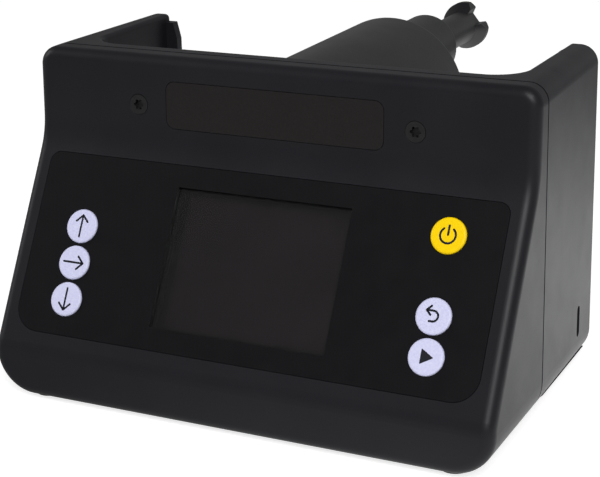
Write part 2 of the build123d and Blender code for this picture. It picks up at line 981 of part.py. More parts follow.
def build_housing_seal():
    """Flat seal between the tube's flange and the cradle's front wall."""
    end = wall_y + seal_thickness
    seal = pipe(flange_radius, spigot_radius, wall_y, end, 0.0, tube_z)
    side = body_width
    seal = seal & block((-side, side), (wall_y, end), (0, flange_top))
    for x, z in FLANGE_SCREWS:
        seal = seal - rod(small_screw_radius + fit_gap, wall_y - 1, end + 1, x, z)
    return seal


def pan_screw(length, head_face, x, z):
    """Pan-head screw along Y; its head stands behind head_face, its shank runs forward."""
    head = rod(small_head_radius, head_face, head_face + small_head_height, x, z)
    edge = head.edges().filter_by(GeomType.CIRCLE).sort_by(Axis.Y)[-1]
    head = fillet([edge], small_head_height * 0.4)
    shank = rod(small_screw_radius, head_face - length, head_face, x, z)
    top = head_face + small_head_height
    recess = Pos(x, top, z) * Rot(90, 0, 0) * extrude(
        lobes(small_head_radius * 0.62), amount=drive_depth
    )
    return head + shank - recess


def build_housing_screws():
    """Pan-head screws of the tube's flange."""
    face = wall_y + seal_thickness + flange_thickness
    return group([pan_screw(flange_screw_length, face, x, z) for x, z in FLANGE_SCREWS])


def build_mount_screws():
    """Pan-head screws that hold the gearbox to the tube's end wall."""
    length = tube_end_wall + gear_cover - 0.4
    return group([pan_screw(length, tube_end_y, x, z) for x, z in MOUNT_SCREWS])


# Gear train. Each axis is a place in the XZ view, and each layer a place along Y.

centre_distance = gear_module * (pinion_teeth + wheel_teeth) / 2
motor_axis = (0.0, tube_z)
first_angle = math.radians(first_idler_angle)
first_axis = (
    centre_distance * math.cos(first_angle),
    tube_z + centre_distance * math.sin(first_angle),
)
output_axis = (0.0, spindle_z)


def second_idler_axis():
    """Axis at one centre distance from both the first idler and the output."""
    dx, dz = output_axis[0] - first_axis[0], output_axis[1] - first_axis[1]
    span = math.hypot(dx, dz)
    rise = math.sqrt(centre_distance**2 - (span / 2) ** 2)
    middle = (first_axis[0] + dx / 2, first_axis[1] + dz / 2)
    return (middle[0] + rise * dz / span, middle[1] - rise * dx / span)


second_axis = second_idler_axis()
cover_y = tube_end_y - tube_end_wall - gear_cover
case_inner_y = cover_y - 3 * (gear_width + gear_gap) - gear_gap
case_y = case_inner_y - case_back
layer_pitch = gear_width + gear_gap
first_layer = case_inner_y + gear_gap
second_layer = first_layer + layer_pitch
third_layer = second_layer + layer_pitch


def involute(angle_parameter):
    """Polar angle of an involute for a pressure angle."""
    return math.tan(angle_parameter) - angle_parameter


def gear_face(teeth, shift, phase):
    """Involute gear outline about the origin; phase is the direction of a tooth's middle."""
    pitch = gear_module * teeth / 2
    alpha = math.radians(pressure_angle)
    base = pitch * math.cos(alpha)
    tip = pitch + gear_module * (1 + shift) - tip_relief
    root = pitch - gear_module * (1.25 - shift)
    thickness = gear_module * (math.pi / 2 + 2 * shift * math.tan(alpha)) - tooth_backlash
    half_at_pitch = thickness / (2 * pitch)

    def half_angle(radius):
        """Half the tooth's angle at a radius."""
        if radius <= base:
            return half_at_pitch + involute(alpha)
        return half_at_pitch + involute(alpha) - involute(math.acos(base / radius))

    def spot(radius, angle):
        return (radius * math.cos(angle), radius * math.sin(angle))

    start = max(root, base)
    middle = (start + tip) / 2
    step = 2 * math.pi / teeth
    edges = []
    for index in range(teeth):
        axis = phase + index * step
        low, mid, high = half_angle(start), half_angle(middle), half_angle(tip)
        if root < start:
            edges.append(Line(spot(root, axis - low), spot(start, axis - low)))
            edges.append(Line(spot(start, axis + low), spot(root, axis + low)))
        right = [spot(start, axis - low), spot(middle, axis - mid), spot(tip, axis - high)]
        left = [spot(tip, axis + high), spot(middle, axis + mid), spot(start, axis + low)]
        edges.append(ThreePointArc(*right))
        edges.append(ThreePointArc(right[-1], spot(tip, axis), left[0]))
        edges.append(ThreePointArc(*left))
        next_low = axis + step - low
        edges.append(
            ThreePointArc(
                spot(root, axis + low), spot(root, axis + step / 2), spot(root, next_low)
            )
        )
    return make_face(edges)


def mesh_phase(driver_axis, driver_teeth, driver_phase, axis, teeth):
    """Phase that puts a gear's teeth in the gaps of the one that it meets."""
    towards = math.atan2(axis[1] - driver_axis[1], axis[0] - driver_axis[0])
    driver_share = (towards - driver_phase) * driver_teeth / (2 * math.pi)
    return towards + math.pi - (0.5 - driver_share) * 2 * math.pi / teeth


def gear(teeth, shift, phase, axis, y_start, y_end, bore):
    """Gear along Y about an axis of the XZ view."""
    face = gear_face(teeth, shift, phase) - Circle(bore)
    return drawn_back(Pos(*axis) * face, y_start, y_end)


PINION = (pinion_teeth, tooth_shift)
WHEEL = (wheel_teeth, -tooth_shift)


def build_motor_pinion():
    """Pinion on the motor's shaft."""
    end = first_layer + gear_width
    return gear(*PINION, 0.0, motor_axis, first_layer, end, motor_shaft_radius)


def build_idler(axis, driver_axis, y_start):
    """Idler: a wheel in one layer with a pinion in the next."""
    end = y_start + gear_width + layer_pitch
    phase = mesh_phase(driver_axis, pinion_teeth, 0.0, axis, wheel_teeth)
    wheel = drawn_back(Pos(*axis) * gear_face(*WHEEL, phase), y_start, y_start + gear_width)
    middle = y_start + gear_width / 2
    pinion = drawn_back(Pos(*axis) * gear_face(*PINION, 0.0), middle, end)
    return wheel + pinion - rod(pin_radius + running_gap, y_start - 1, end + 1, *axis)


def build_output_gear():
    """Wheel on the output shaft."""
    phase = mesh_phase(second_axis, pinion_teeth, 0.0, output_axis, wheel_teeth)
    end = third_layer + gear_width
    return gear(*WHEEL, phase, output_axis, third_layer, end, shaft_radius)


def build_idler_pins():
    """Two pins between the gearbox's back and its cover."""
    start, end = case_y + case_back / 2, cover_y + gear_cover / 2
    return group([rod(pin_radius, start, end, *axis) for axis in (first_axis, second_axis)])


def case_screw_places():
    """Places of the gearbox's own screws, round its rim."""
    circle = (case_radius + case_bore) / 2
    return [
        (
            circle * math.cos(math.radians(angle)),
            tube_z + circle * math.sin(math.radians(angle)),
        )
        for angle in (45, 135, 225, 315)
    ]


def build_gearbox_case():
    """Cup of the gearbox, with its back against the motor."""
    case = rod(case_radius, case_y, cover_y, 0.0, tube_z)
    case = case - rod(case_bore, case_inner_y, cover_y + 1, 0.0, tube_z)
    case = case - rod(motor_shaft_radius + 2 * running_gap, case_y - 1, case_inner_y + 1, *motor_axis)
    for axis in (first_axis, second_axis):
        case = case - rod(pin_radius, case_y + case_back / 2, case_inner_y + 1, *axis)
    stub_end = case_y + case_back / 2
    case = case - rod(stub_radius + running_gap, stub_end - 0.1, case_inner_y + 1, *output_axis)
    for x, z in case_screw_places():
        end = cover_y + gear_cover - case_screw_length
        case = case - rod(case_screw_radius, end, cover_y + 1, x, z)
    return case


def build_gearbox_cover():
    """Front plate of the gearbox, against the tube's end wall."""
    end = cover_y + gear_cover
    cover = rod(case_radius, cover_y, end, 0.0, tube_z)
    cover = cover - rod(bushing_radius, cover_y - 1, end + 1, *output_axis)
    for axis in (first_axis, second_axis):
        cover = cover - rod(pin_radius, cover_y - 1, cover_y + gear_cover / 2, *axis)
    for x, z in case_screw_places():
        cover = cover - rod(case_screw_radius, cover_y - 1, end + 1, x, z)
        cover = cover - cone(case_screw_radius, case_screw_head(), end - 0.6, end, x, z)
    for x, z in MOUNT_SCREWS:
        cover = cover - rod(small_screw_radius, cover_y + 0.3, end + 1, x, z)
    return cover


def case_screw_head():
    """Head radius of the gearbox's own screws."""
    return case_screw_radius + 0.5


def build_gearbox_screws():
    """Small countersunk screws between the gearbox's cover and its cup."""
    end = cover_y + gear_cover
    screws = []
    for x, z in case_screw_places():
        head = cone(case_screw_radius, case_screw_head(), end - 0.6, end, x, z)
        screws.append(head + rod(case_screw_radius, end - case_screw_length, end - 0.6, x, z))
    return group(screws)


def build_output_shaft():
    """Steel shaft from the gearbox to the coupler, with a thin inner end."""
    start = case_y + case_back / 2 + running_gap
    shaft = rod(stub_radius, start, third_layer, *output_axis)
    shaft = shaft + rod(shaft_radius, third_layer, tip_y - coupler_bore_stop, *output_axis)
    return shaft - coupler_pin_blank()


def build_output_bushing():
    """Bearing bush in the gearbox's cover and the tube's end wall."""
    end = cover_y + gear_cover + bushing_spigot
    start = third_layer + gear_width + running_gap
    return pipe(bushing_radius, shaft_radius + running_gap, start + gear_gap / 2, end, *output_axis)


def build_nose_bushing():
    """Bearing bush near the nose's end."""
    start = nose_end_y - seal_depth - bushing_length
    end = nose_end_y - seal_depth - 0.3
    return pipe(bushing_radius, shaft_radius + running_gap, start, end, *output_axis)


def build_shaft_seal():
    """Seal ring in the nose's end, round the coupler's tail."""
    start = nose_end_y - seal_depth
    outer = coupler_radius + seal_ring_wall
    return pipe(outer, coupler_radius + running_gap, start, nose_end_y, *output_axis)


def coupler_pin_blank():
    """Cross pin's place through the coupler and the shaft."""
    y = nose_end_y + coupler_pin_setback
    return Pos(0, y, spindle_z) * Cylinder(coupler_pin_radius, 2 * coupler_radius)


def build_coupler_pin():
    """Cross pin, flush with the coupler's round body."""
    body = rod(coupler_radius, nose_end_y, tip_y, *output_axis)
    return coupler_pin_blank() & body


def build_coupler():
    """Winged end of the spindle: a round body that flares into two wings."""
    tail_y = nose_end_y - coupler_tail
    wing_y = tip_y - wing_length
    flare_y = wing_y - wing_flare
    body = rod(coupler_radius, tail_y, flare_y, *output_axis)
    flare = cone(coupler_radius, wing_radius, flare_y, wing_y, *output_axis)
    wing = rod(wing_radius, wing_y, tip_y, *output_axis)
    edge = wing.edges().filter_by(GeomType.CIRCLE).sort_by(Axis.Y)[-1]
    wing = chamfer([edge], wing_chamfer)
    coupler = body + flare + wing
    beyond = 2 * wing_radius
    notch = make_face(
        Polyline(
            (notch_floor, -notch_floor_width / 2),
            (wing_flat, -notch_mouth_width / 2),
            (wing_flat, -beyond),
            (beyond, -beyond),
            (beyond, beyond),
            (wing_flat, beyond),
            (wing_flat, notch_mouth_width / 2),
            (notch_floor, notch_floor_width / 2),
            close=True,
        )
    )
    for turn in (notch_angle, notch_angle + 180):
        cutter = Pos(*output_axis) * Rot(0, 0, turn) * notch
        coupler = coupler - drawn_back(cutter, flare_y, tip_y + 1)
    coupler = coupler - rod(shaft_radius, tail_y - 1, tip_y - coupler_bore_stop, *output_axis)
    return coupler - coupler_pin_blank()


# Motor

can_front = case_y
can_back = case_y - can_length


def build_can():
    """Steel can of the motor, open at the back."""
    can = rod(can_radius, can_back, can_front, 0.0, tube_z)
    can = can - rod(can_radius - can_wall, can_back - 1, can_front - can_wall, 0.0, tube_z)
    hole = motor_shaft_radius + running_gap
    return can - rod(hole, can_front - 2 * can_wall, can_front + 1, 0.0, tube_z)


def rotor_middle():
    """Middle of the rotor along Y."""
    return (can_back + can_front - can_wall) / 2 + 1


def build_magnets():
    """Two arc magnets against the can's wall."""
    middle = rotor_middle()
    start, end = middle - rotor_length / 2 - 1, middle + rotor_length / 2 + 1
    ring = pipe(can_radius - can_wall, rotor_radius + magnet_gap, start, end, 0.0, tube_z)
    gap = can_radius * 0.3
    slit = block((-gap, gap), (start - 1, end + 1), (tube_z - can_radius, tube_z + can_radius))
    return group([ring - slit])


def build_armature():
    """Rotor with its shaft, slots and commutator."""
    middle = rotor_middle()
    start, end = middle - rotor_length / 2, middle + rotor_length / 2
    stack = Circle(rotor_radius)
    for index in range(rotor_slots):
        turn = Rot(0, 0, 360 / rotor_slots * index)
        stack = stack - turn * Pos(rotor_radius * 0.82, 0) * Rectangle(rotor_radius * 0.5, 1.2)
    rotor = drawn_back(Pos(0, tube_z) * stack, start, end)
    bars = rod(commutator_radius, start - 1 - commutator_length, start, 0.0, tube_z)
    shaft_start = can_back - end_cap_thickness / 2
    shaft = rod(motor_shaft_radius, shaft_start, first_layer + gear_width, 0.0, tube_z)
    return rotor + bars + shaft


def build_end_cap():
    """Plastic back of the motor."""
    start = can_back - end_cap_thickness
    cap = rod(can_radius, start, can_back, 0.0, tube_z)
    pocket = start + end_cap_thickness / 2 - running_gap
    return cap - rod(motor_shaft_radius + running_gap, pocket, can_back + 1, 0.0, tube_z)


def build_terminals():
    """Two flat terminals on the motor's back."""
    end = can_back - end_cap_thickness
    tabs = []
    for sign in (-1, 1):
        x = sign * can_radius * 0.6
        tabs.append(
            block((x - 0.3, x + 0.3), (end - terminal_height, end), (tube_z - 1.2, tube_z + 1.2))
        )
    return group(tabs)


# Charging socket, its board, and the battery

socket_y = seam_y + socket_setback
socket_z = base_z + socket_height


def wall_x(y):
    """Outer face of the right side wall at a place along Y."""
    return body_width / 2 - side_draft * (y - seam_y) / rear_depth


def slot_face(length, width):
    """Upright slot with round ends, as long in Z as length."""
    return Rot(0, 0, 90) * SlotOverall(length, width)


def across(face, x_start, x_end):
    """Solid drawn along X from a face whose x is Y and whose y is Z, about the socket."""
    plane = Plane(origin=(x_start, socket_y, socket_z), x_dir=(0, 1, 0), z_dir=(1, 0, 0))
    return extrude(plane * face, amount=x_end - x_start)


def socket_face_x():
    """Place of the socket's mouth, behind the thinned wall."""
    return wall_x(socket_y + slot_width) - slot_skin


def socket_slot():
    """Slot in the side wall and the pocket behind it."""
    slot = across(slot_face(slot_length, slot_width), socket_face_x() - 2 * wall, body_width)
    pocket_size = (socket_width + 2 * fit_gap, socket_length + 2 * fit_gap)
    pocket = across(Rectangle(*pocket_size), socket_face_x() - 2 * wall, socket_face_x())
    return slot + pocket


def build_socket():
    """Metal socket shell with its tongue."""
    back = socket_face_x() - socket_depth
    shell = across(slot_face(socket_length, socket_width), back, socket_face_x())
    bore = slot_face(socket_length - 2 * socket_metal, socket_width - 2 * socket_metal)
    shell = shell - across(bore, back + 1.5, socket_face_x() + 1)
    tongue = across(Rectangle(0.7, socket_length * 0.72), back + 1, socket_face_x() - 0.6)
    return shell + tongue


charger_y = socket_y + socket_width / 2
charger_back_y = charger_y + charger_thickness
charger_x = (socket_face_x() - wall - charger_width, socket_face_x() - wall)
charger_z = (socket_z - charger_below, socket_z - charger_below + charger_height)
charger_screw_x = charger_x[0] + 4.0
charger_screw_z = base_z + wall + rib_height - 4.0


def charger_rib():
    """Upright rib behind the charger board."""
    y = (charger_back_y, charger_back_y + rib_thickness)
    return block((charger_x[0], charger_x[1] + 8), y, (base_z, base_z + wall + rib_height))


def charger_pilot():
    """Screw hole in the charger board's rib."""
    end = charger_back_y + rib_thickness + 1
    return rod(case_screw_radius, charger_back_y - 1, end, charger_screw_x, charger_screw_z)


def charger_screw():
    """Screw of the charger board, with its head towards the user."""
    x, z = charger_screw_x, charger_screw_z
    head = rod(case_screw_radius * 1.9, charger_y - 1.0, charger_y, x, z)
    return head + rod(case_screw_radius, charger_y, charger_back_y + rib_thickness, x, z)


def build_charger_board():
    """Small upright board that carries the charging socket."""
    board = block(charger_x, (charger_y, charger_back_y), charger_z)
    return board - rod(
        case_screw_radius, charger_y - 1, charger_back_y + 1, charger_screw_x, charger_screw_z
    )


cell_y = seam_y - cell_setback
cell_z = base_z + wall + tray_floor + cell_radius


def cell(sign):
    """One battery cell along X, on one side of the middle."""
    x = sign * (cell_length / 2 + 1.0)
    return Pos(x, cell_y, cell_z) * Rot(0, 90, 0) * Cylinder(cell_radius, cell_length)


def build_cells():
    """Two battery cells end to end."""
    return group([cell(-1), cell(1)])


def build_tray():
    """Tray that holds the cells on the front casing's floor."""
    half = cell_length + 1.0 + fit_gap + tray_wall
    y = (cell_y - tray_width / 2, cell_y + tray_width / 2)
    low = base_z + wall
    tray = block((-half, half), y, (low, low + tray_height))
    trough = Pos(0, cell_y, cell_z) * Rot(0, 90, 0) * Cylinder(
        cell_radius, 2 * (half - tray_wall)
    )
    return tray - trough


# Leads


def lead(points, radii):
    """Insulated lead along straight runs joined by arcs."""
    path = FilletPolyline(*points, radius=radii)
    start = Plane(origin=path @ 0, z_dir=path % 0)
    return sweep(start * Circle(lead_radius), path=path)


def build_harness():
    """Leads between the motor and the board, the battery and the board, and the charger."""
    terminal_y = can_back - end_cap_thickness - terminal_height
    plug_depth = board_back + connector_height / 2
    board_top = panel.from_local_coords(Vector(0, board_height / 2, -board_back)).Z
    cell_end = cell_length + 1.0
    leads = []
    for sign in (-1, 1):
        x = sign * can_radius * 0.6
        plug = Vector(sign * connector_x, connector_v + connector_width / 2, -plug_depth)
        above = plug + Vector(0, 9, 0)
        points = [
            tuple(panel.from_local_coords(plug)),
            tuple(panel.from_local_coords(above)),
            (x, seam_y + 2.6, board_top + lead_rise),
            (x, seam_y + 6.6, tube_z),
            (x, terminal_y, tube_z),
        ]
        leads.append(lead(points, [4.0, 1.5, 2.0]))
    plug = Vector(-side_lead_x, battery_plug_v, -board_back)
    points = [
        (-cell_end, cell_y, cell_z),
        (-side_lead_x, cell_y, cell_z),
        tuple(panel.from_local_coords(plug - Vector(0, 0, 6))),
        tuple(panel.from_local_coords(plug)),
    ]
    leads.append(lead(points, [3.0, 2.5]))
    points = [
        (side_lead_x, charger_y, cell_z),
        (side_lead_x, cell_y, cell_z),
        (cell_end, cell_y, cell_z),
    ]
    leads.append(lead(points, [3.0]))
    return group(leads)


def build_all():
    """Every node of the object by its name."""
    nodes = {
        "front_shell": build_front_shell(),
        "rear_shell": build_rear_shell(),
        "base_cover": build_base_cover(),
        "base_cover_screws": build_cover_screws(),
        "rubber_feet": build_feet(),
        "control_overlay": build_overlay(),
        "display_window": build_window(),
        "lcd_panel": build_lcd(),
        "lcd_frame": build_lcd_frame(),
        "tact_switches": build_switches(),
        "control_board": build_board(),
        "board_components": build_components(),
        "buzzer": build_buzzer(),
        "board_screws": build_board_screws(),
        "name_plate": build_name_plate(),
        "front_screws": build_front_screws(),
        "screw_inserts": build_inserts(),
        "motor_housing": build_housing(),
        "housing_seal": build_housing_seal(),
        "housing_screws": build_housing_screws(),
        "motor_mount_screws": build_mount_screws(),
        "motor_pinion": build_motor_pinion(),
        "idler_gear_first": build_idler(first_axis, motor_axis, first_layer),
        "idler_gear_second": build_idler(second_axis, first_axis, second_layer),
        "idler_pins": build_idler_pins(),
        "output_gear": build_output_gear(),
        "gearbox_case": build_gearbox_case(),
        "gearbox_cover": build_gearbox_cover(),
        "gearbox_screws": build_gearbox_screws(),
        "output_shaft": build_output_shaft(),
        "output_bushing": build_output_bushing(),
        "nose_bushing": build_nose_bushing(),
        "shaft_seal": build_shaft_seal(),
        "coupler_pin": build_coupler_pin(),
        "drive_coupler": build_coupler(),
        "motor_can": build_can(),
        "motor_magnets": build_magnets(),
        "motor_armature": build_armature(),
        "motor_end_cap": build_end_cap(),
        "motor_terminals": build_terminals(),
        "charging_socket": build_socket(),
        "charger_board": build_charger_board(),
        "battery_cells": build_cells(),
        "battery_tray": build_tray(),
        "wire_harness": build_harness(),
    }
    for name, x, v in BUTTONS:
        nodes[name] = build_button(x, v)
    return nodes


def main():
    """Writes each node to its own file."""
    os.makedirs("parts", exist_ok=True)
    for name, shape in build_all().items():
        export_step(shape, f"parts/{name}.step")


if __name__ == "__main__":
    main()
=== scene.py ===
"""Countertop film processor: finishes, printed marks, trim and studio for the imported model."""

import logging
import math
from dataclasses import dataclass, field
from enum import Enum
from typing import Any, Callable, Iterable, Sequence

import bmesh
import bpy
from mathutils import Matrix, Vector


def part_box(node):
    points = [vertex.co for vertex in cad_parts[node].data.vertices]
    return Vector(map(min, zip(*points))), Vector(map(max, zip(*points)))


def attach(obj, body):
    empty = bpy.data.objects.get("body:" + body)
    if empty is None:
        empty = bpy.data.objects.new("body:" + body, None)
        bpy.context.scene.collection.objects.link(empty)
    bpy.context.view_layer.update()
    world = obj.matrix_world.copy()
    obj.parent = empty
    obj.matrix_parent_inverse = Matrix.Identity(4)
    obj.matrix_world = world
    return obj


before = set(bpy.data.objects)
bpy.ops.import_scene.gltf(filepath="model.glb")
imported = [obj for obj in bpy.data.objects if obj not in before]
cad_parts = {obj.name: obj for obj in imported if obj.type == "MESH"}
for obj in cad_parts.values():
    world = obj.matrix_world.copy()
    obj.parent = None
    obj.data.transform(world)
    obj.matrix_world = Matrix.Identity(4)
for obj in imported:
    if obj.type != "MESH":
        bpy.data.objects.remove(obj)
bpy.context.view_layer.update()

LOG = logging.getLogger("film_processor")
MM = 0.001
BSDF = "ShaderNodeBsdfPrincipled"
MIX_FIRST, MIX_SECOND, MIX_RESULT = 6, 7, 2
PATTERN_RANGE = (0.3, 0.7)

Tone = tuple[int, int, int]
NodeLink = Any


class Axis(Enum):
    """Direction of a brushed or drawn surface's lines."""

    Y = (0.06, 1.0, 0.06)
    Z = (0.06, 0.06, 1.0)


def linear(tone: Tone) -> tuple[float, float, float, float]:
    """Turn a colour as seen on screen into scene-linear values.

    Args:
        tone: Red, green and blue from 0 to 255.

    Returns:
        Linear red, green, blue and an alpha of 1.
    """
    values = []
    for channel in tone:
        share = channel / 255.0
        low = share <= 0.04045
        values.append(share / 12.92 if low else ((share + 0.055) / 1.055) ** 2.4)
    return values[0], values[1], values[2], 1.0


class NodeSheet:
    """A node tree, with short calls to add and join its nodes."""

    def __init__(self, tree: bpy.types.NodeTree, output: str) -> None:
        """Empty a tree and give it its output.

        Args:
            tree: The tree.
            output: Type name of the output node.
        """
        self.tree = tree
        self.tree.nodes.clear()
        self.output = self.tree.nodes.new(output)

    def join(self, source: NodeLink, target: NodeLink) -> None:
        """Link an output to an input.

        Args:
            source: The output socket.
            target: The input socket.
        """
        self.tree.links.new(source, target)

    def add(self, kind: str, settings: dict[str, Any] | None = None, **inputs: Any) -> Any:
        """Add a node and fill its inputs.

        Args:
            kind: The node's type name.
            settings: Attributes to set on the node itself.
            **inputs: Values or sockets by input name, with spaces written as underscores.

        Returns:
            The new node.
        """
        node = self.tree.nodes.new(kind)
        for key, value in (settings or {}).items():
            setattr(node, key, value)
        for key, value in inputs.items():
            socket = node.inputs[key.replace("_", " ")]
            if isinstance(value, bpy.types.NodeSocket):
                self.join(value, socket)
            else:
                socket.default_value = value
        return node

    def pick(self, share: NodeLink, first: NodeLink, second: NodeLink) -> NodeLink:
        """Mix two shaders.

        Args:
            share: Share of the second one.
            first: The first shader's socket.
            second: The second shader's socket.

        Returns:
            The shader socket.
        """
        node = self.add("ShaderNodeMixShader", Fac=share)
        for socket, source in zip(list(node.inputs)[1:], (first, second)):
            self.join(source, socket)
        return node.outputs["Shader"]

    def distance(self, point: NodeLink, spot: Sequence[float]) -> NodeLink:
        """Measure how far a point is from a fixed spot.

        Args:
            point: The vector socket.
            spot: The spot.

        Returns:
            The value socket.
        """
        node = self.add("ShaderNodeVectorMath", {"operation": "DISTANCE"})
        self.join(point, node.inputs[0])
        node.inputs[1].default_value = spot
        return node.outputs["Value"]

    def fall(self, value: NodeLink, reach: Sequence[float], levels: Sequence[float]) -> NodeLink:
        """Turn a distance into a level.

        Args:
            value: The distance.
            reach: Distances at which the first and the last level are met.
            levels: The first and the last level.

        Returns:
            The value socket.
        """
        node = self.add(
            "ShaderNodeMapRange",
            Value=value,
            From_Min=reach[0],
            From_Max=reach[1],
            To_Min=levels[0],
            To_Max=levels[1],
        )
        return node.outputs["Result"]


class ShaderSheet(NodeSheet):
    """A material's node tree with its shader and the patterns that finishes share."""

    def __init__(self, name: str) -> None:
        """Start a material with a shader on its output.

        Args:
            name: The material's name.
        """
        self.material = bpy.data.materials.new(name)
        self.material.use_nodes = True
        super().__init__(self.material.node_tree, "ShaderNodeOutputMaterial")
        self.shader = self.tree.nodes.new(BSDF)
        self.join(self.shader.outputs["BSDF"], self.output.inputs["Surface"])

    def place(self, stretch: Sequence[float] = (1.0, 1.0, 1.0)) -> NodeLink:
        """Give the point on the object that a pattern reads.

        Args:
            stretch: Scale along each axis.

        Returns:
            The vector socket.
        """
        coordinates = self.add("ShaderNodeTexCoord")
        mapping = self.add(
            "ShaderNodeMapping", Vector=coordinates.outputs["Object"], Scale=tuple(stretch)
        )
        return mapping.outputs["Vector"]

    def noise(self, size: float, detail: float = 2.0, stretch: Sequence[float] = (1, 1, 1)) -> Any:
        """Give a noise pattern.

        Args:
            size: Rough size of a patch, in millimetres.
            detail: How many finer layers it has.
            stretch: Scale along each axis.

        Returns:
            The value socket.
        """
        place = self.place(stretch)
        node = self.add("ShaderNodeTexNoise", Vector=place, Scale=1.0 / (size * MM), Detail=detail)
        return node.outputs["Fac"]

    def remap(self, value: NodeLink, low: float, high: float) -> NodeLink:
        """Stretch a pattern's middle range to two limits.

        Args:
            value: The pattern.
            low: Value at the pattern's dark end.
            high: Value at its bright end.

        Returns:
            The value socket.
        """
        return self.fall(value, PATTERN_RANGE, (low, high))

    def blend(self, share: NodeLink, first: Any, second: Any) -> NodeLink:
        """Mix two colours by a pattern.

        Args:
            share: Pattern from 0, the first colour, to 1, the second.
            first: A colour or a socket.
            second: A colour or a socket.

        Returns:
            The colour socket.
        """
        node = self.tree.nodes.new("ShaderNodeMix")
        node.data_type = "RGBA"
        self.join(share, node.inputs["Factor"])
        sockets = (node.inputs[MIX_FIRST], node.inputs[MIX_SECOND])
        for socket, value in zip(sockets, (first, second)):
            if isinstance(value, bpy.types.NodeSocket):
                self.join(value, socket)
            else:
                socket.default_value = value
        return node.outputs[MIX_RESULT]

    def relief(self, height: NodeLink, depth: float) -> NodeLink:
        """Turn a height pattern into a surface relief.

        Args:
            height: The pattern.
            depth: Depth of the relief, in millimetres.

        Returns:
            The normal socket.
        """
        bump = self.add("ShaderNodeBump", Height=height, Distance=depth * MM, Strength=1.0)
        return bump.outputs["Normal"]

    def shine(self, **values: float | Sequence[float]) -> None:
        """Set even values on the shader's own sockets.

        Args:
            **values: Values by socket name, with spaces written as underscores.
        """
        for key, value in values.items():
            self.shader.inputs[key.replace("_", " ")].default_value = value


@dataclass(frozen=True)
class Moulded:
    """Moulded plastic or rubber with a fine spark-eroded grain."""

    name: str
    tone: Tone
    light_tone: Tone
    roughness: float = 0.45
    roughness_spread: float = 0.02
    grain: float = 0.28
    grain_depth: float = 0.008
    specular: float = 0.2
    sheen: float = 0.0

    def build(self) -> bpy.types.Material:
        """Make the material.

        Returns:
            The finished material.
        """
        sheet = ShaderSheet(self.name)
        cloud = sheet.remap(sheet.noise(22.0, 3.0), 0.0, 1.0)
        colour = sheet.blend(cloud, linear(self.tone), linear(self.light_tone))
        sheet.join(colour, sheet.shader.inputs["Base Color"])
        low, high = self.roughness - self.roughness_spread, self.roughness + self.roughness_spread
        rough = sheet.remap(sheet.noise(9.0, 4.0), low, high)
        sheet.join(rough, sheet.shader.inputs["Roughness"])
        grain = sheet.relief(sheet.noise(self.grain, 2.0), self.grain_depth)
        sheet.join(grain, sheet.shader.inputs["Normal"])
        sheet.shine(Specular_IOR_Level=self.specular, Sheen_Weight=self.sheen)
        return sheet.material


@dataclass(frozen=True)
class PrintedFilm:
    """Polyester film with a fine velvet grain, as on membrane panels and key caps."""

    name: str
    tone: Tone
    light_tone: Tone
    roughness: float = 0.5
    grain: float = 0.16
    grain_depth: float = 0.01
    speckle: float = 0.5
    specular: float = 0.2

    def build(self) -> bpy.types.Material:
        """Make the material.

        Returns:
            The finished material.
        """
        sheet = ShaderSheet(self.name)
        cells = sheet.add(
            "ShaderNodeTexVoronoi", Vector=sheet.place(), Scale=1.0 / (self.grain * 2.0 * MM)
        )
        share = sheet.fall(cells.outputs["Distance"], (0.1, 0.9), (0.0, self.speckle))
        colour = sheet.blend(share, linear(self.tone), linear(self.light_tone))
        sheet.join(colour, sheet.shader.inputs["Base Color"])
        rough = sheet.remap(sheet.noise(6.0, 3.0), self.roughness - 0.05, self.roughness + 0.05)
        sheet.join(rough, sheet.shader.inputs["Roughness"])
        bump = sheet.relief(sheet.noise(self.grain, 1.0), self.grain_depth)
        sheet.join(bump, sheet.shader.inputs["Normal"])
        sheet.shine(Specular_IOR_Level=self.specular)
        return sheet.material


@dataclass(frozen=True)
class Metal:
    """Drawn, turned or plated metal with fine lines along one axis."""

    name: str
    tone: Tone
    light_tone: Tone
    lines: Axis = Axis.Y
    roughness: float = 0.3
    metallic: float = 1.0

    def build(self) -> bpy.types.Material:
        """Make the material.

        Returns:
            The finished material.
        """
        sheet = ShaderSheet(self.name)
        streaks = sheet.noise(0.25, 2.0, self.lines.value)
        colour = sheet.blend(
            sheet.remap(streaks, 0.0, 1.0), linear(self.tone), linear(self.light_tone)
        )
        sheet.join(colour, sheet.shader.inputs["Base Color"])
        rough = sheet.remap(streaks, self.roughness - 0.07, self.roughness + 0.09)
        sheet.join(rough, sheet.shader.inputs["Roughness"])
        sheet.join(sheet.relief(streaks, 0.004), sheet.shader.inputs["Normal"])
        sheet.shine(Metallic=self.metallic)
        return sheet.material


@dataclass(frozen=True)
class ClearSheet:
    """Clear acrylic window with a faint smoke tint."""

    name: str
    tone: Tone
    roughness: float = 0.06

    def build(self) -> bpy.types.Material:
        """Make the material.

        Returns:
            The finished material.
        """
        sheet = ShaderSheet(self.name)
        haze = sheet.remap(sheet.noise(14.0, 3.0), self.roughness, self.roughness + 0.05)
        sheet.join(haze, sheet.shader.inputs["Roughness"])
        sheet.shine(Transmission_Weight=1.0, IOR=1.49, Base_Color=linear(self.tone))
        return sheet.material


